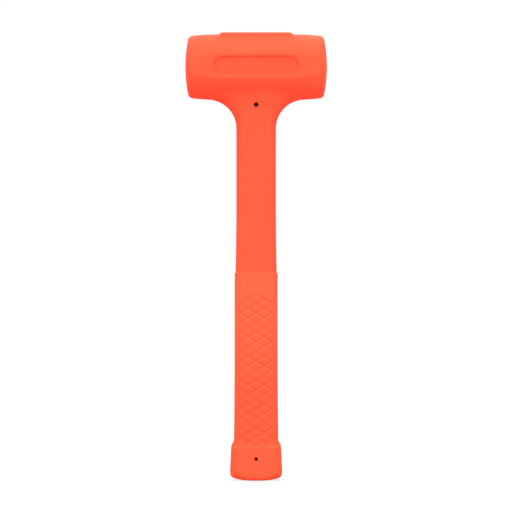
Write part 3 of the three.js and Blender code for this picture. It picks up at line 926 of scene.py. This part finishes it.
def steel(name, tone, roughness, streak, stretch):
    """Bare steel: fine machining streaks, patchy tone and a light uneven sheen."""
    n = Nodes(name)
    mapping = n.add("ShaderNodeMapping")
    mapping.inputs["Scale"].default_value = stretch
    n.join(n.place, mapping.inputs["Vector"])
    streaks = n.add("ShaderNodeTexNoise", Scale=streak, Detail=3.0)
    n.join(mapping.outputs["Vector"], streaks.inputs["Vector"])
    low = tuple(0.82 * c for c in tone) + (1,)
    high = tuple(min(1, 1.1 * c) for c in tone) + (1,)
    n.join(n.ramp(n.noise(90, 4), low, high), n.shader.inputs["Base Color"])
    n.roughen(streaks.outputs["Fac"], roughness - 0.08, roughness + 0.12)
    n.join(n.bump(streaks.outputs["Fac"], 0.3, 0.00004), n.shader.inputs["Normal"])
    n.shader.inputs["Metallic"].default_value = 1
    return n.material


def shot_metal():
    """Tumbled shot: plain bright steel with a little dulling."""
    n = Nodes("shot_metal")
    n.join(n.ramp(n.noise(60, 2), (0.36, 0.37, 0.39, 1), (0.5, 0.51, 0.53, 1)), n.shader.inputs["Base Color"])
    n.roughen(n.noise(160, 2), 0.25, 0.42)
    n.shader.inputs["Metallic"].default_value = 1
    return n.material


# ---------------------------------------------------------------- studio

def sky_change(tree, height, angles, levels):
    """A smooth change of brightness between two angles above the horizon, in degrees."""
    change = tree.nodes.new("ShaderNodeMapRange")
    change.interpolation_type = "SMOOTHSTEP"
    change.inputs["From Min"].default_value = math.sin(math.radians(angles[0]))
    change.inputs["From Max"].default_value = math.sin(math.radians(angles[1]))
    change.inputs["To Min"].default_value = levels[0]
    change.inputs["To Max"].default_value = levels[1]
    tree.links.new(height, change.inputs["Value"])
    return change.outputs["Result"]


def sky():
    """White sky: plain near the horizon, brighter above it and a little dimmer again overhead."""
    world = bpy.data.worlds.new("studio")
    bpy.context.scene.world = world
    world.use_nodes = True
    tree = world.node_tree
    background = tree.nodes["Background"]
    direction = tree.nodes.new("ShaderNodeTexCoord").outputs["Generated"]
    split = tree.nodes.new("ShaderNodeSeparateXYZ")
    tree.links.new(direction, split.inputs[0])
    rise = sky_change(tree, split.outputs["Z"], SKY_RISE_ANGLES, SKY_RISE_LEVELS)
    fall = sky_change(tree, split.outputs["Z"], SKY_FALL_ANGLES, SKY_FALL_LEVELS)
    strength = tree.nodes.new("ShaderNodeMath")
    strength.operation = "MULTIPLY"
    tree.links.new(rise, strength.inputs[0])
    tree.links.new(fall, strength.inputs[1])
    tree.links.new(strength.outputs[0], background.inputs["Strength"])
    background.inputs["Color"].default_value = (1, 1, 1, 1)


def front_panel():
    """Soft panel light in front of the mallet, turned towards it."""
    panel = bpy.data.lights.new("front_panel", "AREA")
    panel.shape = "RECTANGLE"
    panel.size = 2.4
    panel.size_y = 1.6
    panel.energy = PANEL_WATTS
    lamp = bpy.data.objects.new("front_panel", panel)
    bpy.context.scene.collection.objects.link(lamp)
    lamp.location = (0, -2.6, 0.9)
    lamp.rotation_euler = (math.radians(74), 0, 0)


def studio_floor():
    """Pale floor that nearly matches the white behind it."""
    half = FLOOR_HALF
    mesh = bpy.data.meshes.new("floor")
    corners = [(-half, -half, 0), (half, -half, 0), (half, half, 0), (-half, half, 0)]
    mesh.from_pydata(corners, [], [(0, 1, 2, 3)])
    floor = bpy.data.objects.new("floor", mesh)
    bpy.context.scene.collection.objects.link(floor)
    n = Nodes("floor")
    n.join(n.ramp(n.noise(2, 2), (0.1, 0.1, 0.1, 1), (0.11, 0.11, 0.11, 1)), n.shader.inputs["Base Color"])
    n.shader.inputs["Roughness"].default_value = 0.9
    n.shader.inputs["Specular IOR Level"].default_value = 0
    n.shader.inputs["Emission Color"].default_value = (1, 1, 1, 1)
    n.shader.inputs["Emission Strength"].default_value = FLOOR_GLOW
    mesh.materials.append(n.material)


def long_lens():
    """Camera in front of the mallet, level with its middle."""
    camera = bpy.data.cameras.new("camera")
    camera.lens = CAMERA_LENS
    camera.sensor_width = 36
    camera.clip_start = 0.05
    camera.clip_end = 50
    made = bpy.data.objects.new("camera", camera)
    bpy.context.scene.collection.objects.link(made)
    made.location = CAMERA_PLACE
    made.rotation_euler = (math.radians(90), 0, 0)
    bpy.context.scene.camera = made


def studio():
    """Sky, panel, floor and camera, with colours shown as they are."""
    sky()
    front_panel()
    studio_floor()
    long_lens()
    settings = bpy.context.scene.view_settings
    settings.view_transform = "Standard"
    settings.look = "None"


# ---------------------------------------------------------------- assembly

def place(piece, node, body, material):
    piece.data.materials.clear()
    piece.data.materials.append(material)
    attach(piece, body)
    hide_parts(node)


studio()
# The head's recess floors get painted shade: their green and blue fall to 0.93 of the rest.
orange = urethane("urethane", (0.88, 0.0499, 0.0202), 0.6, 2600, recess_shade_gain=0.93)
# The grip gets painted light: its green and blue rise by 1.2 from 30 to 140 mm up, so it is paler towards its
# top as if lit from above.
orange_grip = urethane("urethane_grip", (0.88, 0.0505, 0.02), 0.7, 1900, (0.03, 0.14, 1.2))
tube_steel = steel("tube_steel", (0.34, 0.35, 0.37), 0.38, 400, (0.05, 1, 1))
cap_steel = steel("cap_steel", (0.42, 0.43, 0.44), 0.34, 500, (1, 1, 1))
# The bar's tone is nearly black: painted shade, so that the pin holes which show the bar look dark.
bar_steel = steel("bar_steel", (0.035, 0.034, 0.036), 0.5, 400, (1, 1, 0.05))
weld_steel = steel("weld_steel", (0.2, 0.18, 0.16), 0.5, 300, (1, 1, 1))

place(head_shell(), "head_cover", "mallet", orange)
place(grip_shell(), "grip_sleeve", "mallet", orange_grip)
place(canister_shell(), "canister_tube", "mallet", tube_steel)
place(canister_disc(-1), "canister_cap_left", "mallet", cap_steel)
place(canister_disc(1), "canister_cap_right", "mallet", cap_steel)
place(core_rod(), "handle_rod", "mallet", bar_steel)
place(weld_bead(), "rod_weld", "mallet", weld_steel)
place(shot_balls(), "shot_charge", "shot", shot_metal())
